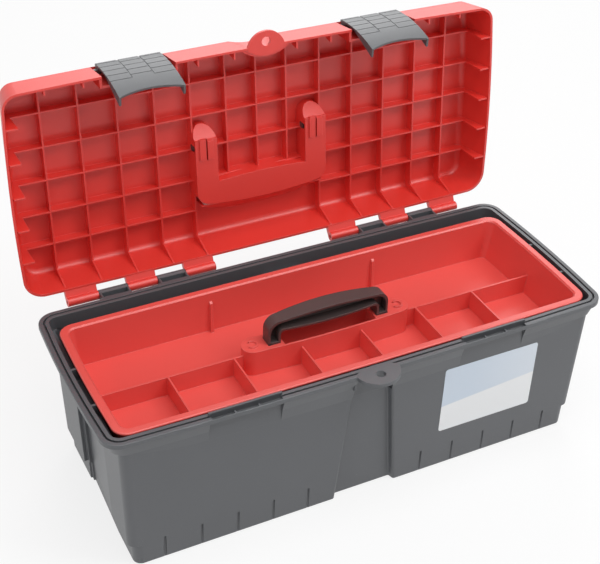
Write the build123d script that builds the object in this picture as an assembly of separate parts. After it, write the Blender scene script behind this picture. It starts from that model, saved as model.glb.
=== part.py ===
from build123d import *
import os
from math import atan, degrees, hypot

# Toolbox with a lift-out tray: tub, hinged lid, two draw-down latches, a folding
# carrying handle, the tray with its own handle, two hinge rods and a blank label.
# Millimetres. X runs along the length, Y from the front (-) to the back (+), Z up.
# The origin is the centre of the tub's underside. The lid is drawn closed, then
# turned open about its hinge, because it stands open on its stop at rest.

# ---- tub -------------------------------------------------------------------
LENGTH = 563.0              # over the rim, at mid-side
WIDTH = 228.0
HEIGHT = 169.0
WALL = 2.4
RIM_BOW = 3.8               # how far each rim side bows out between its corners
RIM_CORNER = 20.0
RIM_WALL = 10.2             # from the outer lip to the tub's mouth
LIP_HEIGHT = 5.0
BAND_BOTTOM = 151.0         # the band under the lip, at the two ends
BAND_STEP = 8.5
BASE_FRONT = 100.0          # half-width of the walls at the base
FRONT_DRAFT = 0.036         # outward slope of the walls, per millimetre of height
BASE_END = 258.5            # half-length of the end walls at the base
END_DRAFT = 0.036
PLINTH_HEIGHT = 27.0        # the ends step in below this
PLINTH_STEP = 4.6
FOOT_CHAMFER = 1.6
WALL_CORNER = 9.0           # radius of the walls' upright corners
RECESS_DEPTH = 7.0          # the recess between the two panels of a long side, at the base
RECESS_SHOALS = 0.003       # how much shallower per millimetre of height
RECESS_BASE = 35.4          # its half-width at the base
RECESS_TAPER = 0.0913       # how much narrower per millimetre of height
CHANNEL_DEPTH = 8.0         # the end walls slope in by this towards their rear pillar
CHANNEL_TOP_DEPTH = 3.8
CHANNEL_SHOALS_FROM = 112.0  # it keeps its depth up to here
CHANNEL_FRONT = -50.0
CHANNEL_BACK = 36.0
CHANNEL_LEDGE = 5.0         # the pillar's side goes down in two steps, this far apart
FLARE_FROM = 132.0          # the long walls flare out to the lip above this
GROOVE_INSET = 4.4
GROOVE_WIDTH = 2.2
GROOVE_DEPTH = 4.0
FLUTE_FIRST = 66.6          # short flutes along the foot of the long walls
FLUTE_PITCH = 39.1
FLUTE_COUNT = 5
FLUTE_HEIGHT = 29.0

# ---- padlock ears, latches and their catches ---------------------------------
EAR_HOLE_Y = -118.5
EAR_HOLE_R = 5.0
TUB_EAR_HALF = 24.0
TUB_EAR_TIP = -134.0
LID_EAR_HALF = 21.5
LID_EAR_TIP = -130.0
CATCH_X = 139.0             # middle of each catch
CATCH_HALF = 38.0
CATCH_RISE = 3.2            # the catch's back wall stands this far above the rim
LATCH_X = 139.2             # middle of each latch
LATCH_HALF = 34.5
NOTCH_HALF = 38.8           # the channel in the lid's front wall that holds a latch
NOTCH_DEPTH = 12.0
LATCH_HANG = 10.8           # degrees: the latches hang this far in from closed
LATCH_PLATE = 2.4
LATCH_PIN_R = 1.75
RUN = 0.05                  # radial clearance of a pin in its hole
GAP = 0.4                   # between pieces that move past each other

# ---- hinge -----------------------------------------------------------------
HINGE_Y = 127.5
HINGE_Z = 164.5
KNUCKLE_R = 5.0
ROD_R = 2.0
LID_OPEN = 94.4             # degrees
LID_TABS = ((71.2, 105.9), (138.9, 171.7), (204.6, 238.5))
TUB_LUGS = ((106.4, 138.4), (172.2, 204.1))

# ---- lid, drawn closed: v is measured forward of the hinge axis, w above it ------
LID_RIM_Z = 169.3
LID_HALF = 282.8
LID_BACK_V = 9.3
LID_FRONT_V = 241.9
LID_DEPTH = 44.5            # from the rim to the outside of the top
LID_WALL = 2.5
LID_END_DRAW = 10.0         # how far the end walls slope in over that depth
LID_BACK_DRAW = 3.5
LID_FRONT_DRAW = 4.5
LID_ROUND = 9.0             # the rounding of the outer edge of the top
LID_FRONT_CORNER = 17.0
LID_BACK_CORNER = 23.0
RIB = 1.8
RIB_FACE_W = 34.6           # height of the free edge of the ribs
RIB_X = (0.0, 35.6, 75.8, 116.0, 156.6, 196.9, 236.4)
RIB_V = (53.1, 90.3, 127.2, 164.3, 202.0)
NOSE_Z = 162.0              # the ribs at the ends reach down into the tub's mouth to here
FIN_X = (35.6, 75.8, 196.9, 236.4)  # low fins under the front wall's edge
CALM_HALF = 75.8            # no ribs nearer the middle than this below CALM_V
CALM_V = 64.0

# ---- latches, drawn closed, in the lid's (v, w) --------------------------------
LATCH_PIN = (235.3, 35.5)
LATCH_OUTER = ((240.7, 40.1), (246.4, 4.0), (243.7, -31.8))
LATCH_EDGE_RISE = 6.6       # how far its free edge curves in
LATCH_CHEEK = 9.8          # depth of the cheeks at the free edge
NOSE_V = 238.6              # the nose that draws down under the tub's lip
GRIP_ROWS = (36.5, 26.0, 15.5, 5.0, -5.5)
GRIP_DEPTH = 0.45

# ---- carrying handle and the pocket in the lid's top that it folds into ----------
POCKET_FACE_W = 22.5        # the pocket's underside
POCKET_WALL = 2.0
ARM_IN = 52.5
ARM_OUT = 77.5
ARM_END_V = 141.0
ARM_END_R = 12.5
BOW_V = (60.0, 91.5)
BOW_CORNER = 15.0
SCOOP_V = 41.0
HANDLE_PIVOT_V = 130.0
HANDLE_PIVOT_W = 33.5
HANDLE_HANG = 4.4           # degrees: it hangs plumb when the lid leans back
AXLE_R = 3.9

# ---- tray ------------------------------------------------------------------
TRAY_HALF = 265.9
TRAY_FRONT = -101.0
TRAY_BACK = 85.0
TRAY_BOW = 2.2
TRAY_TOP = 169.6
TRAY_FLANGE = 8.5
TRAY_SKIN = 2.0
TRAY_FLOOR = 120.0          # upper side of the floor
TRAY_DRAW = 7.0             # how far its end walls slope in down to the floor
TRAY_CORNER = 16.0
DIVIDER_Y = -6.0            # front of the long dividing wall
DIVIDER_TOP = 142.5
CROSS_X = (34.6, 106.8, 178.7)
HOUSING_HALF = 97.0         # the block in the middle that carries the handle
HOUSING_Y = -2.7
HOUSING_R = 12.2
HOUSING_TOP = 150.0
WELL_HALF = 53.5            # finger well under the handle
SEAT_Z = 167.4              # nubs inside the tub that the tray's flange rests on
SEAT_Y = (-44.0, 15.0)

# ---- tray handle -------------------------------------------------------------
GRIP_OUT = 70.0
GRIP_IN = 56.5
GRIP_TOP = 181.3
GRIP_SHOULDER = 177.0
GRIP_UNDER = 163.5
FOOT_Y = (-9.1, 4.1)

# ---- label -------------------------------------------------------------------
LABEL_X = (86.0, 200.0)
LABEL_Z = (50.0, 134.5)
LABEL_THICK = 0.3


# ---- helpers -----------------------------------------------------------------
def box(x0, x1, y0, y1, z0, z1):
    """A box between two corners."""
    lo = (min(x0, x1), min(y0, y1), min(z0, z1))
    return Pos(*lo) * Box(abs(x1 - x0), abs(y1 - y0), abs(z1 - z0), align=(Align.MIN,) * 3)


def mirror_x(shape):
    """The shape and its twin on the other side of the middle."""
    return shape + mirror(shape, about=Plane.YZ)


def ruled(lower, upper):
    """A solid between two outlines with matching corners."""
    return loft([lower, upper], ruled=True)


def bowed(half, front, back, z, r_front, r_back=None, bow=RIM_BOW):
    """A four-sided outline at height z, bowed sides, rounded corners."""
    side = bow * 0.45
    near, far, reach = front + bow, back - side, half - bow
    pts = [(-reach, near), (reach, near), (reach, far), (-reach, far)]
    wire = Wire(
        [
            ThreePointArc(pts[0], (0, front), pts[1]),
            ThreePointArc(pts[1], (half, (front + back) / 2), pts[2]),
            ThreePointArc(pts[2], (0, back), pts[3]),
            ThreePointArc(pts[3], (-half, (front + back) / 2), pts[0]),
        ]
    )
    face = Face(wire)
    middle = (front + back) / 2
    face = face.fillet_2d(r_front, [v for v in face.vertices() if v.Y < middle])
    rear = [v for v in face.vertices() if v.Y > middle and abs(abs(v.X) - reach) < 0.01]
    face = face.fillet_2d(r_back or r_front, rear)
    return Pos(0, 0, z) * face


def rim(inset, z):
    """The rim's outline, moved in by inset."""
    return bowed(LENGTH / 2 - inset, -WIDTH / 2 + inset, WIDTH / 2 - inset, z, RIM_CORNER - inset)


def prism_x(x0, x1, *pts):
    """Extrude a (y, z) outline from x0 to x1."""
    face = make_face(Polyline(*[(x0, y, z) for y, z in pts], close=True))
    return extrude(face, amount=x1 - x0, dir=(1, 0, 0))


def rod_x(x0, x1, y, z, radius):
    """A round bar along X."""
    return Pos((x0 + x1) / 2, y, z) * Rot(0, 90, 0) * Cylinder(radius, abs(x1 - x0))


def closed(v, w):
    """Lid coordinates to (y, z) with the lid closed."""
    return (HINGE_Y - v, HINGE_Z + w)


HINGE_AXIS = Axis((0, HINGE_Y, HINGE_Z), (1, 0, 0))


def opened(shape):
    """Swing a piece of the closed lid open."""
    return shape.rotate(HINGE_AXIS, -LID_OPEN)


# ---- tub ---------------------------------------------------------------------
def tub_section(z, skin, end_step):
    """The tub's wall outline at height z, moved in by the skin's thickness."""
    front = BASE_FRONT + FRONT_DRAFT * z - skin
    end = BASE_END + END_DRAFT * z - end_step - skin
    floor = front - RECESS_DEPTH + RECESS_SHOALS * z
    fade = max(0.0, z - CHANNEL_SHOALS_FROM) / (BAND_BOTTOM + WALL - CHANNEL_SHOALS_FROM)
    channel = CHANNEL_DEPTH + (CHANNEL_TOP_DEPTH - CHANNEL_DEPTH) * fade
    half = RECESS_BASE - RECESS_TAPER * z + skin
    slope = 2.0
    right = [(half - slope, -floor), (half, -front), (end, -front)]
    right += end_steps(end, channel - end_step, skin)
    right += [(end, front), (half, front), (half - slope, floor)]
    left = [(-x, y) for x, y in reversed(right)]
    small, corner = 1.4, WALL_CORNER - skin
    radii = [small, 3.0, corner, 18.0, 0.6, 0.6, 0.6, 0.6, corner, 3.0, small]
    outline = FilletPolyline(*(right + left), radius=radii + radii[::-1], close=True)
    return Pos(0, 0, z) * make_face(outline)


def end_steps(end, depth, skin):
    """The end wall's outline: a slope in from the front, then two steps out to the pillar."""
    high = CHANNEL_BACK + skin
    ledge = high - CHANNEL_LEDGE
    slope = [(end, CHANNEL_FRONT), (end - depth, ledge)]
    return slope + [(end - depth / 2, ledge), (end - depth / 2, high), (end, high)]


def tub_stack(skin, bottom):
    """The tub's walls as a solid: plinth, panels, and the part where the channels shoal."""
    top = BAND_BOTTOM + WALL
    foot = tub_section(bottom, skin, PLINTH_STEP)
    body = ruled(foot, tub_section(PLINTH_HEIGHT, skin, PLINTH_STEP))
    body += ruled(tub_section(PLINTH_HEIGHT, skin, 0), tub_section(CHANNEL_SHOALS_FROM, skin, 0))
    return body + ruled(tub_section(CHANNEL_SHOALS_FROM, skin, 0), tub_section(top, skin, 0))


def tub_recess(floor_y, z0, z1, grow):
    """The recess's upper part as a solid, on the front; grow widens it into its walls."""
    wide = RECESS_BASE - RECESS_TAPER * z0 + grow
    narrow = RECESS_BASE - RECESS_TAPER * z1 + grow
    face = make_face(Polyline((-wide, 0, z0), (wide, 0, z0), (narrow, 0, z1), (-narrow, 0, z1), close=True))
    return Pos(0, -floor_y, 0) * extrude(face, amount=40, dir=(0, -1, 0))


def tub_catches(body):
    """Cut the finger pockets and the three open cells of each catch."""
    lip_z = HEIGHT - LIP_HEIGHT
    for side in (-1, 1):
        x0 = side * CATCH_X - CATCH_HALF
        x1 = side * CATCH_X + CATCH_HALF
        pocket = ((-104.8, 131), (-105.9, lip_z), (-140, lip_z), (-140, 131))
        body -= prism_x(x0, x1, *pocket)
        body += box(x0, x1, -106.6, -104.4, lip_z - 1, HEIGHT + CATCH_RISE)
        cell = (x1 - x0 - 4 * 1.8) / 3
        for i in range(3):
            left = x0 + 1.8 + i * (cell + 1.8)
            body -= box(left, left + cell, -112.2, -106.4, lip_z + 1.6, HEIGHT + 1)
    return body


def tub_lug(x0, x1):
    """One hinge lug behind the rim, bored for the rod."""
    y0 = WIDTH / 2 - 4
    arm = prism_x(x0, x1, (y0, 156), (y0, HEIGHT - 0.2), (HINGE_Y, HEIGHT - 0.2), (HINGE_Y, 160))
    lug = arm + rod_x(x0, x1, HINGE_Y, HINGE_Z, KNUCKLE_R)
    lug -= box(x0 + 1.8, x1 - 1.8, y0 + 5.5, HINGE_Y - 4.2, HEIGHT - 6.5, HEIGHT + 1)
    return lug - rod_x(x0 - 1, x1 + 1, HINGE_Y, HINGE_Z, ROD_R + RUN)


def make_tub():
    """The tub: one moulded shell."""
    lip_z = HEIGHT - LIP_HEIGHT
    end = BASE_END + END_DRAFT * BAND_BOTTOM
    body = tub_stack(0, FOOT_CHAMFER)
    body += ruled(tub_section(0, FOOT_CHAMFER, PLINTH_STEP), tub_section(FOOT_CHAMFER, 0, PLINTH_STEP))
    low = bowed(end - 1, -104.2, 104.2, FLARE_FROM, WALL_CORNER, bow=0.4)
    mid = bowed(end, -108.2, 108.2, BAND_BOTTOM, WALL_CORNER, bow=3.0)
    body += ruled(low, mid)
    band = bowed(end + BAND_STEP, -108.2, 108.2, BAND_BOTTOM, 16, bow=3.0)
    body += ruled(band, bowed(LENGTH / 2 - 4.2, -112.4, 112.4, lip_z, 18))
    body += extrude(rim(0, lip_z), amount=LIP_HEIGHT)
    body = fillet(body.edges().group_by(Axis.Z)[-1], 0.8)
    hollow = make_face(
        Polyline(
            *end_steps(end, CHANNEL_TOP_DEPTH, 0),
            (end + 30, CHANNEL_BACK),
            (end + 30, CHANNEL_FRONT),
            close=True,
        )
    )
    hollow = extrude(hollow, amount=BAND_BOTTOM - FLARE_FROM + 2, dir=(0, 0, 1))
    body -= mirror_x(Pos(0, 0, FLARE_FROM - 2) * hollow)
    groove = extrude(rim(GROOVE_INSET, HEIGHT - GROOVE_DEPTH), amount=GROOVE_DEPTH + 1)
    groove -= extrude(rim(GROOVE_INSET + GROOVE_WIDTH, HEIGHT - GROOVE_DEPTH), amount=GROOVE_DEPTH + 1)
    body -= groove
    body -= tub_stack(WALL, WALL)
    body -= extrude(rim(RIM_WALL, BAND_BOTTOM + WALL), amount=30)
    floor = BASE_FRONT + FRONT_DRAFT * BAND_BOTTOM - RECESS_DEPTH + RECESS_SHOALS * BAND_BOTTOM
    lining = tub_recess(floor - WALL + 0.3, BAND_BOTTOM - 2, lip_z + 1.5, WALL)
    body += lining & extrude(rim(4, 140), amount=40)
    body -= tub_recess(floor, FLARE_FROM - 1, lip_z, 0)
    body = tub_catches(body)
    body += extrude(lens(TUB_EAR_HALF, TUB_EAR_TIP, -103.4, HEIGHT - 4.0), amount=4.0)
    body -= Pos(0, EAR_HOLE_Y, HEIGHT - 4) * Cylinder(EAR_HOLE_R, 12)
    for x0, x1 in TUB_LUGS:
        body += mirror_x(tub_lug(x0, x1))
    for y in SEAT_Y:
        body += mirror_x(box(end - 1, LENGTH / 2 - RIM_WALL + 0.5, y - 1.25, y + 1.25, BAND_BOTTOM, SEAT_Z))
    return body - tub_flutes()


def tub_flutes():
    """The short flutes along the foot of the long walls."""
    flute = Pos(0, -BASE_FRONT - 0.4, 0) * Cylinder(1.4, 2 * FLUTE_HEIGHT)
    flutes = [Pos(FLUTE_FIRST + i * FLUTE_PITCH, 0, 0) * flute for i in range(FLUTE_COUNT)]
    right = Compound(children=flutes)
    all_four = []
    for cutter in (right, mirror(right, about=Plane.YZ)):
        all_four += [cutter, mirror(cutter, about=Plane.XZ)]
    return Compound(children=all_four)


def lens(half, outer, inner, z):
    """A lens-shaped outline between two arcs through the same tips."""
    root = -WIDTH / 2 + 3.0
    wire = Wire(
        [
            ThreePointArc((-half, root), (0, outer), (half, root)),
            ThreePointArc((half, root), (0, inner), (-half, root)),
        ]
    )
    return Pos(0, 0, z) * Face(wire)


# ---- lid ---------------------------------------------------------------------
def lid_section(inset, w, share):
    """The lid's outline at one height; share is how far up the slope it lies."""
    half = LID_HALF - LID_END_DRAW * share - inset
    front = HINGE_Y - LID_FRONT_V + LID_FRONT_DRAW * share + inset
    back = HINGE_Y - LID_BACK_V - LID_BACK_DRAW * share - inset
    front_r = LID_FRONT_CORNER - 3 * share - inset
    back_r = LID_BACK_CORNER - 6 * share - inset
    return bowed(half, front, back, HINGE_Z + w, front_r, back_r, bow=RIM_BOW * (1 - 0.5 * share))


def lid_shape(inset, lower):
    """The lid as a solid block, its walls moved in by inset."""
    rim_w = LID_RIM_Z - HINGE_Z
    top_w = rim_w + LID_DEPTH
    slope = -lower / LID_DEPTH
    low = lid_section(inset, rim_w - lower, slope)
    return ruled(low, lid_section(inset, top_w - inset, 1 - inset / LID_DEPTH))


def lid_ribs():
    """The grid under the top, and the ribs that run on down the sloping walls."""
    low, high = HINGE_Z + RIB_FACE_W, LID_RIM_Z + LID_DEPTH - 1
    front = HINGE_Y - LID_FRONT_V
    back = HINGE_Y - LID_BACK_V
    ribs = []
    reach = [(279.4, 172.5), (283, 172.5), (283, high), (266.3, high), (266.3, low)]
    for x in RIB_X:
        for s in {x, -x}:
            ribs.append(box(s - RIB / 2, s + RIB / 2, front, back, low, high))
            if abs(s) > CALM_HALF - 1:
                foot = ((105, low), (back - 3.3, 170.6), (back - 1, 170.6), (back - 1, high), (105, high))
                ribs.append(prism_x(s - RIB / 2, s + RIB / 2, *foot))
    for v in RIB_V:
        y = HINGE_Y - v
        ribs.append(box(-LID_HALF, LID_HALF, y - RIB / 2, y + RIB / 2, low, high))
        mouth = LENGTH / 2 - RIM_WALL - RIM_BOW * (y / 104) ** 2 - 0.6
        nose = [(mouth - 3.2, NOSE_Z), (mouth, NOSE_Z), (mouth, 169.8), (278.4, 169.8)]
        for side in (-1, 1):
            face = make_face(Polyline(*[(side * x, y - RIB / 2, z) for x, z in nose + reach], close=True))
            ribs.append(extrude(face, amount=RIB, dir=(0, 1, 0)))
    for x in FIN_X:
        fin = ((front, low), (front, 169.8), (front + 10.5, 169.8), (front + 6, low))
        ribs += [prism_x(s - RIB / 2, s + RIB / 2, *fin) for s in (x, -x)]
    calm = box(-CALM_HALF + 1, CALM_HALF - 1, HINGE_Y - CALM_V, back + 5, 150, high + 5)
    return fuse_all(ribs) - calm


def fuse_all(shapes):
    """Fuse a list of solids in one operation."""
    return shapes[0].fuse(*shapes[1:])


def lid_pocket(skin, face_w):
    """The handle pocket as a solid; skin 0 is its outside, more moves its walls in."""
    top = LID_RIM_Z + LID_DEPTH + 1
    z0 = HINGE_Z + face_w

    def slab(x0, x1, v0, v1):
        return box(x0, x1, HINGE_Y - v1, HINGE_Y - v0, z0, top)

    arm = slab(ARM_IN + skin, ARM_OUT - skin, BOW_V[1] - 8, ARM_END_V - skin)
    end_z = z0
    end = Pos((ARM_IN + ARM_OUT) / 2, HINGE_Y - ARM_END_V, (end_z + top) / 2)
    end *= Cylinder(ARM_END_R - skin, top - end_z)
    roof_v, roof_w = ARM_END_V - 2, face_w + 0.5 * skin
    far_v, far_w = roof_v + 22, roof_w + 25
    roof = (closed(roof_v, roof_w), closed(far_v, far_w), closed(far_v, 0), closed(roof_v, 0))
    end -= prism_x(ARM_IN - 9, ARM_OUT + 9, *roof)
    bow_low = BOW_V[0] + skin
    bow_high = BOW_V[1] - skin
    out = ARM_OUT - skin
    sag = 5.5
    near, far = HINGE_Y - bow_low, HINGE_Y - bow_high
    wire = Wire(
        [
            ThreePointArc((-out, near - 6), (0, near), (out, near - 6)),
            Line((out, near - 6), (out, far + sag)),
            ThreePointArc((out, far + sag), (0, far), (-out, far + sag)),
            Line((-out, far + sag), (-out, near - 6)),
        ]
    )
    plan = Face(wire)
    plan = plan.fillet_2d(BOW_CORNER - skin, [v for v in plan.vertices() if v.Y > HINGE_Y - BOW_V[1] + 10])
    bow = Pos(0, 0, z0) * extrude(plan, amount=top - z0, dir=(0, 0, 1))
    low_v = SCOOP_V + skin
    mouth_w = LID_RIM_Z + LID_DEPTH - LID_WALL - HINGE_Z + 0.2 * skin
    foot_v = BOW_V[0] + 3
    slope = (closed(foot_v, face_w), closed(low_v, mouth_w), closed(low_v, 56), closed(foot_v, 56))
    scoop_r = 134.0 - skin
    scoop = prism_x(-out, out, *slope) & (Pos(0, HINGE_Y - SCOOP_V - 134.0, 190) * Cylinder(scoop_r, 80))
    return mirror_x(arm + end) + bow + scoop


def notch_block(inset, depth):
    """The channel a latch lies in, as a solid; inset grows it into its own walls."""
    half = NOTCH_HALF + inset
    y0 = HINGE_Y - LID_FRONT_V
    y1 = y0 + NOTCH_DEPTH + inset
    z0 = LID_RIM_Z + 1.2 if inset else 160
    left = box(-LATCH_X - half, -LATCH_X + half, y0 - 8 + depth, y1, z0, HINGE_Z + 43 + inset)
    return mirror_x(left)


def lid_tab(x0, x1):
    """One hinge tab under the lid's back edge, bored for the rod."""
    y0 = HINGE_Y - LID_BACK_V - 1.5
    tip = ((HINGE_Y + 1.6, HINGE_Z + 4.6), (HINGE_Y - 2.6, HINGE_Z + 2))
    arm = prism_x(x0, x1, (y0, LID_RIM_Z), (y0, 177), *tip)
    tab = arm + rod_x(x0, x1, HINGE_Y, HINGE_Z, KNUCKLE_R)
    return tab - rod_x(x0 - 1, x1 + 1, HINGE_Y, HINGE_Z, ROD_R + RUN)


def make_lid():
    """The lid, drawn closed: shell, ribs, handle pocket, latch channels, ear and tabs."""
    rim_z = LID_RIM_Z
    block = rounded_top(lid_shape(0, 0), LID_ROUND)
    hollow = rounded_top(lid_shape(LID_WALL, 1), LID_ROUND - LID_WALL)
    front = HINGE_Y - LID_FRONT_V
    inside = lid_ribs() & rounded_top(lid_shape(LID_WALL - 0.6, 0), LID_ROUND - LID_WALL + 0.6)
    lid = block - hollow
    channels = notch_block(LID_WALL, 8) & block
    ear_wall = ear_bay(LID_WALL, rim_z + 0.9, rim_z + LID_DEPTH - 1) & block
    pocket = lid_pocket(0, POCKET_FACE_W)
    ceiling = box(-100, 100, -60, 100, 150, rim_z + LID_DEPTH - 1)
    lid = lid + inside + channels + ear_wall + (pocket & ceiling)
    lid -= notch_block(0, 0)
    lid -= ear_bay(0, rim_z - 1, rim_z + LID_DEPTH + 1)
    lid += tongues()
    lid -= lid_pocket(POCKET_WALL, POCKET_FACE_W + POCKET_WALL)
    lid += extrude(lens(LID_EAR_HALF, LID_EAR_TIP, front + 11.5, rim_z), amount=3.2)
    lid -= Pos(0, EAR_HOLE_Y, rim_z) * Cylinder(EAR_HOLE_R, 20)
    for x0, x1 in LID_TABS:
        lid += mirror_x(lid_tab(x0, x1))
    return lid - lid_bores()


def rounded_top(shape, radius):
    """The shape with the edge round its top rounded."""
    return fillet(shape.edges().group_by(Axis.Z)[-1], radius)


def ear_bay(grow, z0, z1):
    """The bay above the lid's ear: lens-shaped in plan, wider towards the top."""
    inner = HINGE_Y - LID_FRONT_V + 10.5 + grow
    low = lens(LID_EAR_HALF + 2 * grow, -126, inner, z0)
    return ruled(low, lens(LID_EAR_HALF + 8 + 2 * grow, -126, inner, z1))


def tongues():
    """The two low springy tongues on each arm of the handle pocket."""
    z = HINGE_Z + POCKET_FACE_W
    middle = (ARM_IN + ARM_OUT) / 2
    pads = []
    for x in (-middle, middle):
        pads.append(box(x + 0.9, x + 7.5, HINGE_Y - ARM_END_V + 1.5, HINGE_Y - 118, z - 2.0, z + 1))
        pads.append(box(x - 8.0, x - 0.9, HINGE_Y - ARM_END_V - 1.5, HINGE_Y - 118, z - 2.0, z + 1))
    return fuse_all(pads)


def lid_bores():
    """Holes for the latch pins and the handle's axles, and the slits beside the tongues."""
    y, z = closed(*LATCH_PIN)
    half = NOTCH_HALF + LID_WALL + 1
    pins = [rod_x(s * LATCH_X - half, s * LATCH_X + half, y, z, LATCH_PIN_R + RUN) for s in (-1, 1)]
    y, z = closed(HANDLE_PIVOT_V, HANDLE_PIVOT_W)
    axle = rod_x(ARM_IN - 1, ARM_OUT + 1, y, z, AXLE_R + RUN)
    face = HINGE_Z + POCKET_FACE_W
    throat = box(ARM_IN - 1, ARM_OUT + 1, y - AXLE_R + 0.3, y + AXLE_R - 0.3, face + 2.5, z)
    middle = (ARM_IN + ARM_OUT) / 2
    y0, y1 = HINGE_Y - 142, HINGE_Y - 117
    slits = [box(x - 0.9, x + 0.9, y0, y1, face - 2.5, face + 3) for x in (-middle, middle)]
    return fuse_all(pins + [mirror_x(axle + throat)] + slits)


# ---- latch -------------------------------------------------------------------
def latch_skin(inset, x0, x1):
    """The curved plate between two depths below its outer face."""
    outer = [closed(v, w) for v, w in LATCH_OUTER]
    inner = [closed(v - inset, w) for v, w in LATCH_OUTER]
    wire = Wire(
        [
            ThreePointArc(*[(x0, y, z) for y, z in outer]),
            Line((x0, *outer[2]), (x0, *inner[2])),
            ThreePointArc(*[(x0, y, z) for y, z in reversed(inner)]),
            Line((x0, *inner[0]), (x0, *outer[0])),
        ]
    )
    return extrude(Face(wire), amount=x1 - x0, dir=(1, 0, 0))


def make_latch(side):
    """One latch: curved plate, cheeks, barrel, nose and the shallow grip pattern."""
    x0 = side * LATCH_X - LATCH_HALF
    x1 = side * LATCH_X + LATCH_HALF
    pin_y, pin_z = closed(*LATCH_PIN)
    body = latch_skin(LATCH_PLATE, x0, x1)
    body += rod_x(x0, x1, pin_y, pin_z, 4.0)
    body += prism_x(x0, x1, closed(233.5, 36.5), closed(240.4, 39), closed(242, 28.5), closed(236.5, 31.9))
    tip_v, tip_w = LATCH_OUTER[2]
    edge = (closed(tip_v - 1, tip_w), closed(tip_v - LATCH_CHEEK, tip_w))
    cheek = (closed(245.4, 8), *edge, closed(243.6, 8))
    body += prism_x(x0, x0 + 2.2, *cheek) + prism_x(x1 - 2.2, x1, *cheek)
    nose = (closed(NOSE_V, -1.2), closed(245, -1.2), closed(245, -6.5), closed(NOSE_V + 1.5, -4.2))
    body += prism_x(side * LATCH_X - 26, side * LATCH_X + 26, *nose)
    rise = LATCH_EDGE_RISE
    radius = (LATCH_HALF**2 + rise**2) / (2 * rise)
    edge_z = HINGE_Z + tip_w
    bite = Pos(side * LATCH_X, 0, edge_z + rise - radius) * Rot(90, 0, 0) * Cylinder(radius, 400)
    body -= bite & box(x0 + 2.2, x1 - 2.2, -140, -112, edge_z - 5, edge_z + rise + 1)
    body -= latch_grooves(x0, x1)
    third = (x1 - x0) / 3
    for x in (x0 + third, x1 - third):
        body -= box(x - 1.3, x + 1.3, -140, -100, HINGE_Z + 38.6, HINGE_Z + 45)
    body -= rod_x(x0 - 1, x1 + 1, pin_y, pin_z, LATCH_PIN_R + RUN)
    return body


def latch_grooves(x0, x1):
    """Shallow grooves that split the plate's upper part into staggered pads."""
    third = (x1 - x0) / 3
    lines = []
    for column in range(3):
        left = x0 + column * third
        shift = 5.0 if column == 1 else 0.0
        for row in GRIP_ROWS:
            z = HINGE_Z + row - shift
            if z > HINGE_Z + GRIP_ROWS[-1] - 1:
                lines.append(box(left, left + third, -140, -100, z - 0.5, z + 0.5))
    for x in (x0 + third, x1 - third):
        lines.append(box(x - 0.5, x + 0.5, -140, -100, HINGE_Z + GRIP_ROWS[-1], HINGE_Z + 45))
    return fuse_all(lines) & latch_skin(GRIP_DEPTH, x0, x1)


def latch_at_rest(shape):
    """Let a latch hang in from its closed place, then open the lid with it."""
    pin = Axis((0, *closed(*LATCH_PIN)), (1, 0, 0))
    return opened(shape.rotate(pin, LATCH_HANG))


# ---- handles -----------------------------------------------------------------
def make_lid_handle():
    """The carrying handle, drawn folded down in its pocket."""
    low_w, high_w = POCKET_FACE_W + POCKET_WALL + 5.2, LID_RIM_Z + LID_DEPTH - HINGE_Z - 0.4
    out = ARM_OUT - POCKET_WALL - 1.0
    inner = ARM_IN + POCKET_WALL + 1.0
    v_low, v_high = BOW_V[0] + POCKET_WALL + 7, BOW_V[1] - POCKET_WALL - 6.5

    def bar(v0, v1, x0, x1, w0=low_w, w1=high_w):
        return box(x0, x1, HINGE_Y - v1, HINGE_Y - v0, HINGE_Z + w0, HINGE_Z + w1)

    grip = bar(v_low, v_high, -out, out)
    grip = fillet(grip.edges().filter_by(Axis.Z).group_by(Axis.Y)[-1], BOW_CORNER - POCKET_WALL - 2)
    grip = fillet(grip.edges().group_by(Axis.Z)[0] + grip.edges().group_by(Axis.Z)[-1], 4.0)
    arm = bar((v_low + v_high) / 2, HANDLE_PIVOT_V, inner, out, HANDLE_PIVOT_W - 5.5, HANDLE_PIVOT_W + 6.5)
    y, z = closed(HANDLE_PIVOT_V, HANDLE_PIVOT_W)
    eye = rod_x(inner, out, y, z, 6.5)
    axle = rod_x(ARM_IN + 0.4, ARM_OUT - 0.4, y, z, AXLE_R)
    return grip + mirror_x(arm + eye + axle)


def make_tray_handle():
    """The tray's arched handle: a channel, open to the front, with feet for its slots."""
    side = make_face(grip_outline(0, HOUSING_TOP - 9))
    block = Pos(0, 14, 0) * extrude(side, amount=30, dir=(0, -1, 0))
    plan = Wire(
        [
            ThreePointArc((-GRIP_OUT - 1, FOOT_Y[0]), (0, FOOT_Y[0] - 3.2), (GRIP_OUT + 1, FOOT_Y[0])),
            Line((GRIP_OUT + 1, FOOT_Y[0]), (GRIP_OUT + 1, FOOT_Y[1])),
            ThreePointArc((GRIP_OUT + 1, FOOT_Y[1]), (0, FOOT_Y[1] + 2.6), (-GRIP_OUT - 1, FOOT_Y[1])),
            Line((-GRIP_OUT - 1, FOOT_Y[1]), (-GRIP_OUT - 1, FOOT_Y[0])),
        ]
    )
    block &= Pos(0, 0, 130) * extrude(Face(plan), amount=60, dir=(0, 0, 1))
    hollow = make_face(grip_outline(2.4, HOUSING_TOP + 2))
    block -= Pos(0, FOOT_Y[1] - 3.5, 0) * extrude(hollow, amount=30, dir=(0, -1, 0))
    return block


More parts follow.
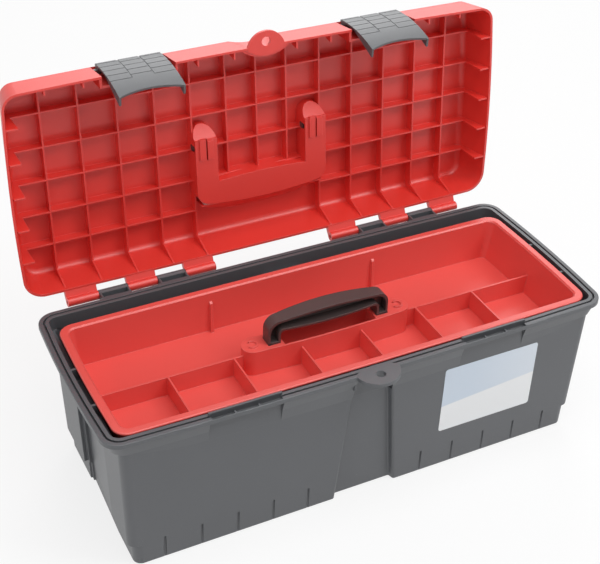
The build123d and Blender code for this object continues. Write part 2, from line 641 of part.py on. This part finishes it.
def grip_outline(inset, foot_z):
    """The handle's outline seen from the front, moved in by inset."""
    out, mid = GRIP_OUT - inset, GRIP_IN + inset
    bend = 13.0
    top, shoulder = GRIP_TOP - inset, GRIP_SHOULDER - inset
    under = GRIP_UNDER + inset
    corner_in = 5.0 + inset * 0.3
    k = 0.7071
    pts = {
        "foot_out": (out, foot_z),
        "rise_out": (out, shoulder - bend),
        "turn_out": (out - bend + bend * k, shoulder - bend + bend * k),
        "top_out": (out - bend, shoulder),
        "top": (0, top),
        "under": (0, under - 0.8),
        "under_in": (mid - corner_in, under + 0.6),
        "turn_in": (mid - corner_in + corner_in * k, under + 0.6 - corner_in + corner_in * k),
        "rise_in": (mid, under + 0.6 - corner_in),
        "foot_in": (mid, foot_z),
    }
    p = {name: (x, 0, z) for name, (x, z) in pts.items()}
    m = {name: (-x, 0, z) for name, (x, z) in pts.items()}
    return Wire(
        [
            Line(p["foot_out"], p["rise_out"]),
            ThreePointArc(p["rise_out"], p["turn_out"], p["top_out"]),
            ThreePointArc(p["top_out"], p["top"], m["top_out"]),
            ThreePointArc(m["top_out"], m["turn_out"], m["rise_out"]),
            Line(m["rise_out"], m["foot_out"]),
            Line(m["foot_out"], m["foot_in"]),
            Line(m["foot_in"], m["rise_in"]),
            ThreePointArc(m["rise_in"], m["turn_in"], m["under_in"]),
            ThreePointArc(m["under_in"], p["under"], p["under_in"]),
            ThreePointArc(p["under_in"], p["turn_in"], p["rise_in"]),
            Line(p["rise_in"], p["foot_in"]),
            Line(p["foot_in"], p["foot_out"]),
        ]
    )


# ---- tray --------------------------------------------------------------------
def tray_outline(inset, z, lean=0.0):
    """The tray's outline at height z; lean also draws the ends and long sides in."""
    half = TRAY_HALF - inset - TRAY_DRAW * lean
    front = TRAY_FRONT + inset + 2.0 * lean
    back = TRAY_BACK - inset - 1.0 * lean
    corner = TRAY_CORNER - 0.8 * inset - 3 * lean
    return bowed(half, front, back, z, corner, bow=TRAY_BOW * (1 - 0.4 * lean))


def make_tray():
    """The tray: flange, walls, trough, seven front compartments and the handle block."""
    skin = TRAY_SKIN
    under = TRAY_FLOOR - skin
    wall_in = TRAY_FLANGE
    tray = extrude(tray_outline(0, TRAY_TOP - skin), amount=skin)
    tray = fillet(tray.edges().group_by(Axis.Z)[-1], 1.5)
    tray += ruled(tray_outline(wall_in - skin, under, 1), tray_outline(wall_in - skin, TRAY_TOP - skin))
    tray -= ruled(tray_outline(wall_in, TRAY_FLOOR, 1), tray_outline(wall_in, TRAY_TOP + 0.1))
    tray -= ruled(tray_outline(wall_in, TRAY_TOP - 1.5), tray_outline(wall_in - 1.6, TRAY_TOP + 0.1))
    room = ruled(tray_outline(wall_in - 0.5, under, 1), tray_outline(wall_in - 0.5, TRAY_TOP - skin))
    walls = [box(-TRAY_HALF, TRAY_HALF, DIVIDER_Y, DIVIDER_Y + skin, under, DIVIDER_TOP)]
    for x in CROSS_X:
        for s in (x, -x):
            walls.append(box(s - 0.9, s + 0.9, -105, DIVIDER_Y + 1, under, DIVIDER_TOP))
    for x in (-98.0, 98.0):
        back = TRAY_BACK - wall_in
        foot = ((back - 5.5, under), (back - 3.0, 156), (back + 2, 160), (back + 2, under))
        walls.append(prism_x(x - 1.5, x + 1.5, *foot))
    tray += fuse_all(walls) & room
    tray += housing(0, under, HOUSING_TOP)
    ends = housing(skin, under - 1, HOUSING_TOP - skin)
    tray -= ends - box(-GRIP_IN + 1.2, GRIP_IN - 1.2, -40, 40, 100, 160)
    well = housing(skin, TRAY_FLOOR + 2, HOUSING_TOP + 1) & box(-WELL_HALF, WELL_HALF, -40, 40, 100, 160)
    tray -= well
    y0, y1 = FOOT_Y[0] - 1.6, FOOT_Y[1] + 1.4
    slot = box(GRIP_IN - 0.3, GRIP_OUT + 0.3, y0, y1, HOUSING_TOP - 3, HOUSING_TOP + 1)
    tray -= mirror_x(slot)
    for side in (-1, 1):
        tray += c_boss(side * (HOUSING_HALF - HOUSING_R + 0.4), side)
    return tray


def housing(inset, z0, z1):
    """The handle block's outline as a solid: round ends, front bowed forward."""
    r = HOUSING_R - inset
    x = HOUSING_HALF - HOUSING_R
    y = HOUSING_Y
    wire = Wire(
        [
            ThreePointArc((-x, y - r), (0, y - r - 2.6), (x, y - r)),
            ThreePointArc((x, y - r), (x + r, y), (x, y + r)),
            Line((x, y + r), (-x, y + r)),
            ThreePointArc((-x, y + r), (-x - r, y), (-x, y - r)),
        ]
    )
    return Pos(0, 0, z0) * extrude(Face(wire), amount=z1 - z0, dir=(0, 0, 1))


def c_boss(x, side):
    """A low C-shaped rib on the block's end."""
    ring = Cylinder(6.0, 2.4) - Cylinder(4.3, 2.4) - Rot(0, 0, 25) * box(-8, 0, 0, 8, -2, 2)
    return Pos(x, HOUSING_Y, HOUSING_TOP + 1.0) * ring


# ---- rods, pins and label ------------------------------------------------------
def hinge_rod(side):
    """The rod through one group of knuckles."""
    x0, x1 = LID_TABS[0][0] + 1.5, LID_TABS[-1][1] - 1.5
    return rod_x(side * x0, side * x1, HINGE_Y, HINGE_Z, ROD_R)


def latch_pin(side):
    """The pin that one latch turns on, carried by the cheeks of its channel."""
    reach = NOTCH_HALF + LID_WALL - 0.5
    return rod_x(side * LATCH_X - reach, side * LATCH_X + reach, *closed(*LATCH_PIN), LATCH_PIN_R)


def make_label():
    """The blank label on the front right panel, lying on the sloping wall."""
    x0, x1 = LABEL_X
    z0, z1 = LABEL_Z
    slope = degrees(atan(FRONT_DRAFT))
    tall = hypot(z1 - z0, FRONT_DRAFT * (z1 - z0))
    sheet = fillet((Box(x1 - x0, LABEL_THICK, tall)).edges().filter_by(Axis.Y), 3.0)
    y_mid = -(BASE_FRONT + FRONT_DRAFT * (z0 + z1) / 2) - LABEL_THICK / 2 - 0.01
    return Pos((x0 + x1) / 2, y_mid, (z0 + z1) / 2) * Rot(slope, 0, 0) * sheet


# ---- write the pieces -----------------------------------------------------------
pivot = Axis((0, *closed(HANDLE_PIVOT_V, HANDLE_PIVOT_W)), (1, 0, 0))
pieces = {
    "tub": make_tub(),
    "lid": opened(make_lid()),
    "lid_handle": opened(make_lid_handle().rotate(pivot, HANDLE_HANG)),
    "latch_left": latch_at_rest(make_latch(-1)),
    "latch_right": latch_at_rest(make_latch(1)),
    "latch_pin_left": opened(latch_pin(-1)),
    "latch_pin_right": opened(latch_pin(1)),
    "hinge_rod_left": hinge_rod(-1),
    "hinge_rod_right": hinge_rod(1),
    "tray": make_tray(),
    "tray_handle": make_tray_handle(),
    "label": make_label(),
}

os.makedirs("parts", exist_ok=True)
for name, shape in pieces.items():
    export_step(shape, f"parts/{name}.step")
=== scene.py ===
"""Dresses the toolbox with its lift-out tray: finishes, stage and camera."""

import logging
import math
from dataclasses import dataclass
from enum import Enum

import bmesh
import bpy
from mathutils import Euler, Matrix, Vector


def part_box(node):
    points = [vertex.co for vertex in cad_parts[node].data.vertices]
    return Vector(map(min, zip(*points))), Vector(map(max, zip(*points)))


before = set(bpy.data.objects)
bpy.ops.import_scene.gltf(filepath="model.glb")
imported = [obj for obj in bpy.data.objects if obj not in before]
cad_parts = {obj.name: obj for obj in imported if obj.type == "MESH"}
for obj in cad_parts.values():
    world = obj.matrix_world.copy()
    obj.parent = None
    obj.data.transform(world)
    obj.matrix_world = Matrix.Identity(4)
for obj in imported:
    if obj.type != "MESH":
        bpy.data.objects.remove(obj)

log = logging.getLogger("toolbox")

Colour = tuple[float, float, float]
Point = tuple[float, float, float]

# Moulded plastic: cells per metre, shares of a mix, and metres.
CLOUD_SCALE = 9.0
SPECK_SCALE = 420.0
SPECK_LEVEL = 0.73
SPECK_SHARE = 0.05
SPECK_TINT = (0.75, 0.74, 0.72)
# Gain of the painted highlight on the edges.
EDGE_HIGHLIGHT_GAIN = 4.0
ROUGHNESS_SPREAD = 0.14
GRAIN_HEIGHT = 0.0002
# Drawn steel: cells per metre along and across the rod; the height also serves the paper.
LINE_SCALE = (20.0, 2600.0, 2600.0)
LINE_HEIGHT = 0.0001
# The label, in shares of its width and height.
FIELD_SLANT = 0.12
FIELD_FOOT = 0.40
FIELD_SHARPNESS = 60.0
FIELD_FADE = (1.15, 0.5)
FIBRE_SCALE = 1800.0
FIBRE_SHARE = 0.06
FIBRE_TINT = (0.45, 0.46, 0.5)
# The stage, in metres.
FLOOR_HALF = 12.0
FLOOR_GREY = (0.86, 0.86, 0.86, 1.0)
FLOOR_GLOW = 0.8
SKY_STRENGTH = 0.4
LAMP_AIM = (0.0, 0.05, 0.15)
SENSOR_WIDTH_MM = 36.0
FAR_CLIP = 60.0


class Texture(Enum):
    """How a moulding's surface was finished in its tool."""

    SPARK = "spark"
    SATIN = "satin"


class NodeBoard:
    """A small helper that lays out one material's nodes."""

    def __init__(self, name: str) -> None:
        """Start an empty material.

        Args:
            name: The material's name.
        """
        self.material = bpy.data.materials.new(name)
        self.material.use_nodes = True
        self.tree = self.material.node_tree
        self.tree.nodes.clear()
        self.output = self.add("ShaderNodeOutputMaterial")

    def add(self, kind: str, **inputs: object) -> bpy.types.Node:
        """Add a node and set its unlinked inputs.

        Args:
            kind: The node's type name.
            **inputs: Socket names, with underscores for spaces, and their values.

        Returns:
            The new node.
        """
        node = self.tree.nodes.new(kind)
        for socket, value in inputs.items():
            node.inputs[socket.replace("_", " ")].default_value = value
        return node

    def link(self, source: bpy.types.NodeSocket, target: bpy.types.NodeSocket) -> None:
        """Join an output to an input."""
        self.tree.links.new(source, target)

    def math(
        self, operation: str, a: object, b: object = 0.0, clamp: bool = False
    ) -> bpy.types.NodeSocket:
        """Add a Math node on sockets or numbers.

        Args:
            operation: The Math node's operation.
            a: First operand, a socket or a number.
            b: Second operand, a socket or a number.
            clamp: Whether to clamp the result to 0..1.

        Returns:
            The result's socket.
        """
        node = self.tree.nodes.new("ShaderNodeMath")
        node.operation = operation
        node.use_clamp = clamp
        for slot, value in ((0, a), (1, b)):
            if isinstance(value, bpy.types.NodeSocket):
                self.link(value, node.inputs[slot])
            else:
                node.inputs[slot].default_value = value
        return node.outputs[0]

    def noise(
        self, coords: bpy.types.NodeSocket, scale: float, detail: float = 2.0
    ) -> bpy.types.NodeSocket:
        """Add a noise texture on the given coordinates.

        Args:
            coords: The vector socket to read.
            scale: Cells per metre.
            detail: Octaves.

        Returns:
            The noise value's socket.
        """
        node = self.add("ShaderNodeTexNoise", Scale=scale, Detail=detail, Roughness=0.55)
        self.link(coords, node.inputs["Vector"])
        return node.outputs["Fac"]

    def mix_colour(self, factor: object, first: object, second: object) -> bpy.types.NodeSocket:
        """Mix two colours.

        Args:
            factor: A socket or a number.
            first: A colour or a socket.
            second: A colour or a socket.

        Returns:
            The mixed colour's socket.
        """
        node = self.tree.nodes.new("ShaderNodeMix")
        node.data_type = "RGBA"
        for slot, value in ((0, factor), (6, first), (7, second)):
            if isinstance(value, bpy.types.NodeSocket):
                self.link(value, node.inputs[slot])
            elif slot:
                node.inputs[slot].default_value = (*value, 1.0)
            else:
                node.inputs[slot].default_value = value
        return node.outputs[2]


@dataclass(frozen=True)
class MouldedPlastic:
    """Injection-moulded plastic: an even colour with a fine grain, softened edges and a painted
    highlight along them.

    Attributes:
        name: The material's name.
        colour: The plastic's colour.
        roughness: Its mean roughness.
        texture: How the tool's surface was finished.
        mottle: How much the colour drifts over the moulding.
        edge_highlight: How pale the edges are painted, a painted highlight along them.
        edge: Radius of the softened edges, in metres.
        specular: Specular level.
    """

    name: str
    colour: Colour
    roughness: float
    texture: Texture = Texture.SATIN
    mottle: float = 0.06
    edge_highlight: float = 0.1
    edge: float = 0.0006
    specular: float = 0.5

    def build(self) -> bpy.types.Material:
        """Build the material.

        Returns:
            The finished material.
        """
        board = NodeBoard(self.name)
        coords = board.add("ShaderNodeTexCoord").outputs["Object"]
        cloud = board.noise(coords, CLOUD_SCALE, 3.0)
        grain = board.noise(coords, self._grain_scale(), 2.0)
        dark = tuple(c * (1.0 - self.mottle) for c in self.colour)
        light = tuple(min(1.0, c * (1.0 + self.mottle)) for c in self.colour)
        base = board.mix_colour(cloud, dark, light)
        speck = board.math("GREATER_THAN", board.noise(coords, SPECK_SCALE, 2.0), SPECK_LEVEL)
        base = board.mix_colour(board.math("MULTIPLY", speck, SPECK_SHARE), base, SPECK_TINT)
        bevel = board.add("ShaderNodeBevel", Radius=self.edge)
        bevel.samples = 4
        geometry = board.add("ShaderNodeNewGeometry")
        dot = board.tree.nodes.new("ShaderNodeVectorMath")
        dot.operation = "DOT_PRODUCT"
        board.link(bevel.outputs[0], dot.inputs[0])
        board.link(geometry.outputs["Normal"], dot.inputs[1])
        # Painted highlight: where the bevel's rounded normal turns away from the face, the colour
        # is mixed toward a pale tint.
        edge = board.math("SUBTRACT", 1.0, dot.outputs["Value"], clamp=True)
        painted_highlight = board.math("MULTIPLY", edge, self.edge_highlight * EDGE_HIGHLIGHT_GAIN, clamp=True)
        pale = tuple(min(1.0, 0.5 * c + 0.38) for c in self.colour)
        base = board.mix_colour(painted_highlight, base, pale)
        spread = board.math("MULTIPLY", grain, ROUGHNESS_SPREAD)
        rough = board.math("ADD", spread, self.roughness - ROUGHNESS_SPREAD / 2)
        bump = board.add("ShaderNodeBump", Strength=self._grain_strength(), Distance=GRAIN_HEIGHT)
        board.link(grain, bump.inputs["Height"])
        board.link(bevel.outputs[0], bump.inputs["Normal"])
        shader = board.add("ShaderNodeBsdfPrincipled", Specular_IOR_Level=self.specular)
        board.link(base, shader.inputs["Base Color"])
        board.link(rough, shader.inputs["Roughness"])
        board.link(bump.outputs[0], shader.inputs["Normal"])
        board.link(shader.outputs[0], board.output.inputs["Surface"])
        return board.material

    def _grain_scale(self) -> float:
        """Cells per metre of the tool's texture."""
        return {Texture.SPARK: 1500.0, Texture.SATIN: 900.0}[self.texture]

    def _grain_strength(self) -> float:
        """Bump strength of the tool's texture."""
        return {Texture.SPARK: 0.35, Texture.SATIN: 0.18}[self.texture]


@dataclass(frozen=True)
class DrawnSteel:
    """Drawn steel rod with faint lines along its length.

    Attributes:
        name: The material's name.
        colour: The metal's colour.
        roughness: Its mean roughness.
    """

    name: str
    colour: Colour
    roughness: float

    def build(self) -> bpy.types.Material:
        """Build the material.

        Returns:
            The finished material.
        """
        board = NodeBoard(self.name)
        coords = board.add("ShaderNodeTexCoord").outputs["Object"]
        mapping = board.add("ShaderNodeMapping", Scale=LINE_SCALE)
        board.link(coords, mapping.inputs["Vector"])
        lines = board.noise(mapping.outputs[0], 1.0, 3.0)
        base = board.mix_colour(lines, tuple(c * 0.8 for c in self.colour), self.colour)
        rough = board.math("ADD", board.math("MULTIPLY", lines, 0.2), self.roughness - 0.1)
        bump = board.add("ShaderNodeBump", Strength=0.2, Distance=LINE_HEIGHT)
        board.link(lines, bump.inputs["Height"])
        shader = board.add("ShaderNodeBsdfPrincipled", Metallic=1.0)
        board.link(base, shader.inputs["Base Color"])
        board.link(rough, shader.inputs["Roughness"])
        board.link(bump.outputs[0], shader.inputs["Normal"])
        board.link(shader.outputs[0], board.output.inputs["Surface"])
        return board.material


@dataclass(frozen=True)
class BlankLabel:
    """A blank coated-paper label: a pale blue field that runs out on a slant, then white.

    Attributes:
        name: The material's name.
        paper: Colour of the bare paper.
        field_colour: Colour of the printed field.
        low: The label's lowest corner in x and z, in metres.
        high: The label's highest corner in x and z, in metres.
    """

    name: str
    paper: Colour
    field_colour: Colour
    low: tuple[float, float]
    high: tuple[float, float]

    def build(self) -> bpy.types.Material:
        """Build the material.

        Returns:
            The finished material.
        """
        board = NodeBoard(self.name)
        coords = board.add("ShaderNodeTexCoord").outputs["Object"]
        split = board.tree.nodes.new("ShaderNodeSeparateXYZ")
        board.link(coords, split.inputs[0])
        wide = self.high[0] - self.low[0]
        tall = self.high[1] - self.low[1]
        u = board.math("DIVIDE", board.math("SUBTRACT", split.outputs["X"], self.low[0]), wide)
        v = board.math("DIVIDE", board.math("SUBTRACT", split.outputs["Z"], self.low[1]), tall)
        slant = board.math("SUBTRACT", v, board.math("MULTIPLY", u, FIELD_SLANT))
        height = board.math("SUBTRACT", slant, FIELD_FOOT)
        above = board.math("MULTIPLY", height, FIELD_SHARPNESS, clamp=True)
        start, loss = FIELD_FADE
        fade = board.math("SUBTRACT", start, board.math("MULTIPLY", u, loss))
        tint = board.math("MULTIPLY", above, fade, clamp=True)
        base = board.mix_colour(tint, self.paper, self.field_colour)
        fibre = board.noise(coords, FIBRE_SCALE, 3.0)
        base = board.mix_colour(board.math("MULTIPLY", fibre, FIBRE_SHARE), base, FIBRE_TINT)
        bump = board.add("ShaderNodeBump", Strength=0.08, Distance=LINE_HEIGHT)
        board.link(fibre, bump.inputs["Height"])
        shader = board.add("ShaderNodeBsdfPrincipled", Roughness=0.34)
        board.link(base, shader.inputs["Base Color"])
        board.link(bump.outputs[0], shader.inputs["Normal"])
        board.link(shader.outputs[0], board.output.inputs["Surface"])
        return board.material


GREY = MouldedPlastic(
    "grey_moulding", (0.088, 0.092, 0.1), 0.42, Texture.SPARK, edge_highlight=0.08, specular=0.75
)
LATCH_GREY = MouldedPlastic(
    "latch_moulding",
    (0.09, 0.094, 0.1),
    0.45,
    Texture.SPARK,
    edge_highlight=0.08,
    edge=0.0004,
    specular=0.75,
)
LID_RED = MouldedPlastic(
    "lid_moulding", (0.74, 0.038, 0.027), 0.42, Texture.SATIN, edge_highlight=0.2, edge=0.0005, specular=0.9
)
# Partly the tray's own red, partly painted sheen: green and blue are lifted so the upward-facing
# floors look hazed as by light from above.
TRAY_RED = MouldedPlastic(
    "tray_moulding", (0.75, 0.085, 0.07), 0.42, Texture.SATIN, edge_highlight=0.2, edge=0.0009, specular=0.9
)
HANDLE_BLACK = MouldedPlastic(
    "handle_moulding", (0.06, 0.042, 0.04), 0.45, Texture.SATIN, edge_highlight=0.05, specular=0.9
)
STEEL = DrawnSteel("dark_steel", (0.2, 0.19, 0.19), 0.4)


def dress(node: str, material: bpy.types.Material) -> None:
    """Give a CAD node its finish.

    Args:
        node: The node's name.
        material: The finish.
    """
    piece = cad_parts[node]
    piece.data.materials.clear()
    piece.data.materials.append(material)
    log.info("dressed %s with %s", node, material.name)


@dataclass
class Tub:
    """The grey tub and what is fixed to it."""

    def build(self) -> None:
        """Dress the tub, its label and the hinge rods."""
        dress("tub", GREY.build())
        steel = STEEL.build()
        dress("hinge_rod_left", steel)
        dress("hinge_rod_right", steel)
        low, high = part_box("label")
        paper, print_blue = (0.86, 0.87, 0.88), (0.62, 0.7, 0.8)
        corners = (low[0], low[2]), (high[0], high[2])
        label = BlankLabel("label_print", paper, print_blue, *corners)
        dress("label", label.build())


@dataclass
class Lid:
    """The red lid with its carrying handle and latches.

    Attributes:
        sides: The two ends of the box.
    """

    sides: tuple[str, str] = ("left", "right")

    def build(self) -> None:
        """Dress the lid, its handle, the latches and their pins."""
        dress("lid", LID_RED.build())
        dress("lid_handle", HANDLE_BLACK.build())
        grey = LATCH_GREY.build()
        steel = STEEL.build()
        for side in self.sides:
            dress(f"latch_{side}", grey)
            dress(f"latch_pin_{side}", steel)


@dataclass
class Tray:
    """The red tray and its black handle."""

    def build(self) -> None:
        """Dress the tray and its handle."""
        dress("tray", TRAY_RED.build())
        dress("tray_handle", HANDLE_BLACK.build())


@dataclass
class Stage:
    """Floor, lamps, sky and camera.

    Attributes:
        camera_place: Where the camera stands, in metres.
        camera_turn: Its turn in degrees.
        lens: Its focal length in millimetres.
        shift: Its shift in x and y.
    """

    camera_place: Point = (-0.529125, -0.973912, 0.973101)
    camera_turn: Point = (57.64559, -1.446684, -26.54165)
    lens: float = 78.6
    shift: tuple[float, float] = (-0.01415, -0.09469)

    def build(self) -> None:
        """Put up the floor, lamps, sky and camera."""
        self._floor()
        self._sky(SKY_STRENGTH)
        self._lamp("lamp_top", (0.1, -0.5, 2.3), 1.8, 30.0)
        self._lamp("lamp_key", (1.3, -1.1, 1.9), 0.9, 16.0)
        self._lamp("lamp_left", (-2.0, -0.4, 1.0), 1.2, 6.0)
        self._lamp("lamp_back", (1.0, 2.1, 1.6), 1.6, 24.0)
        self._camera()
        bpy.context.scene.view_settings.view_transform = "Standard"

    def _floor(self) -> None:
        """A pale floor that still takes the object's shadow."""
        shape = bmesh.new()
        bmesh.ops.create_grid(shape, x_segments=2, y_segments=2, size=FLOOR_HALF)
        mesh = bpy.data.meshes.new("floor")
        shape.to_mesh(mesh)
        shape.free()
        floor = bpy.data.objects.new("floor", mesh)
        bpy.context.scene.collection.objects.link(floor)
        board = NodeBoard("floor_white")
        paths = board.add("ShaderNodeLightPath")
        seen = board.math("MAXIMUM", paths.outputs["Is Camera Ray"], paths.outputs["Is Glossy Ray"])
        diffuse = board.add("ShaderNodeBsdfDiffuse", Color=FLOOR_GREY)
        glow = board.add("ShaderNodeEmission", Color=(1.0, 1.0, 1.0, 1.0), Strength=1.0)
        mix = board.add("ShaderNodeMixShader")
        board.link(board.math("MULTIPLY", seen, FLOOR_GLOW), mix.inputs[0])
        board.link(diffuse.outputs[0], mix.inputs[1])
        board.link(glow.outputs[0], mix.inputs[2])
        board.link(mix.outputs[0], board.output.inputs["Surface"])
        mesh.materials.append(board.material)

    def _sky(self, strength: float) -> None:
        """White surroundings, plain white where the camera or a reflection sees them.

        Args:
            strength: Their strength as a light.
        """
        world = bpy.data.worlds.new("studio")
        world.use_nodes = True
        bpy.context.scene.world = world
        tree = world.node_tree
        tree.nodes.clear()
        paths = tree.nodes.new("ShaderNodeLightPath")
        seen = tree.nodes.new("ShaderNodeMath")
        seen.operation = "MAXIMUM"
        tree.links.new(paths.outputs["Is Camera Ray"], seen.inputs[0])
        tree.links.new(paths.outputs["Is Glossy Ray"], seen.inputs[1])
        dim = tree.nodes.new("ShaderNodeBackground")
        dim.inputs["Strength"].default_value = strength
        white = tree.nodes.new("ShaderNodeBackground")
        white.inputs["Strength"].default_value = 1.0
        mix = tree.nodes.new("ShaderNodeMixShader")
        out = tree.nodes.new("ShaderNodeOutputWorld")
        tree.links.new(seen.outputs[0], mix.inputs[0])
        tree.links.new(dim.outputs[0], mix.inputs[1])
        tree.links.new(white.outputs[0], mix.inputs[2])
        tree.links.new(mix.outputs[0], out.inputs["Surface"])

    def _lamp(self, name: str, place: Point, size: float, power: float) -> None:
        """A square soft lamp aimed at the middle of the box.

        Args:
            name: The lamp's name.
            place: Where it hangs, in metres.
            size: The side of its square, in metres.
            power: Its power in watts.
        """
        data = bpy.data.lights.new(name, "AREA")
        data.size = size
        data.energy = power
        lamp = bpy.data.objects.new(name, data)
        lamp.location = place
        aim = Vector(LAMP_AIM) - Vector(place)
        lamp.rotation_euler = aim.to_track_quat("-Z", "Y").to_euler()
        bpy.context.scene.collection.objects.link(lamp)

    def _camera(self) -> None:
        """The camera, slightly rolled, with the small shift of the framing."""
        data = bpy.data.cameras.new("camera")
        data.lens = self.lens
        data.sensor_width = SENSOR_WIDTH_MM
        data.shift_x, data.shift_y = self.shift
        data.clip_end = FAR_CLIP
        camera = bpy.data.objects.new("camera", data)
        camera.location = self.camera_place
        camera.rotation_euler = Euler(math.radians(a) for a in self.camera_turn)
        bpy.context.scene.collection.objects.link(camera)
        bpy.context.scene.camera = camera


def main() -> None:
    """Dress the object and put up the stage."""
    logging.basicConfig(level=logging.INFO, format="%(name)s: %(message)s")
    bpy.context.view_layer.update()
    for part in (Tub(), Lid(), Tray(), Stage()):
        log.info("building %s", type(part).__name__)
        part.build()


if __name__ == "__main__":
    main()
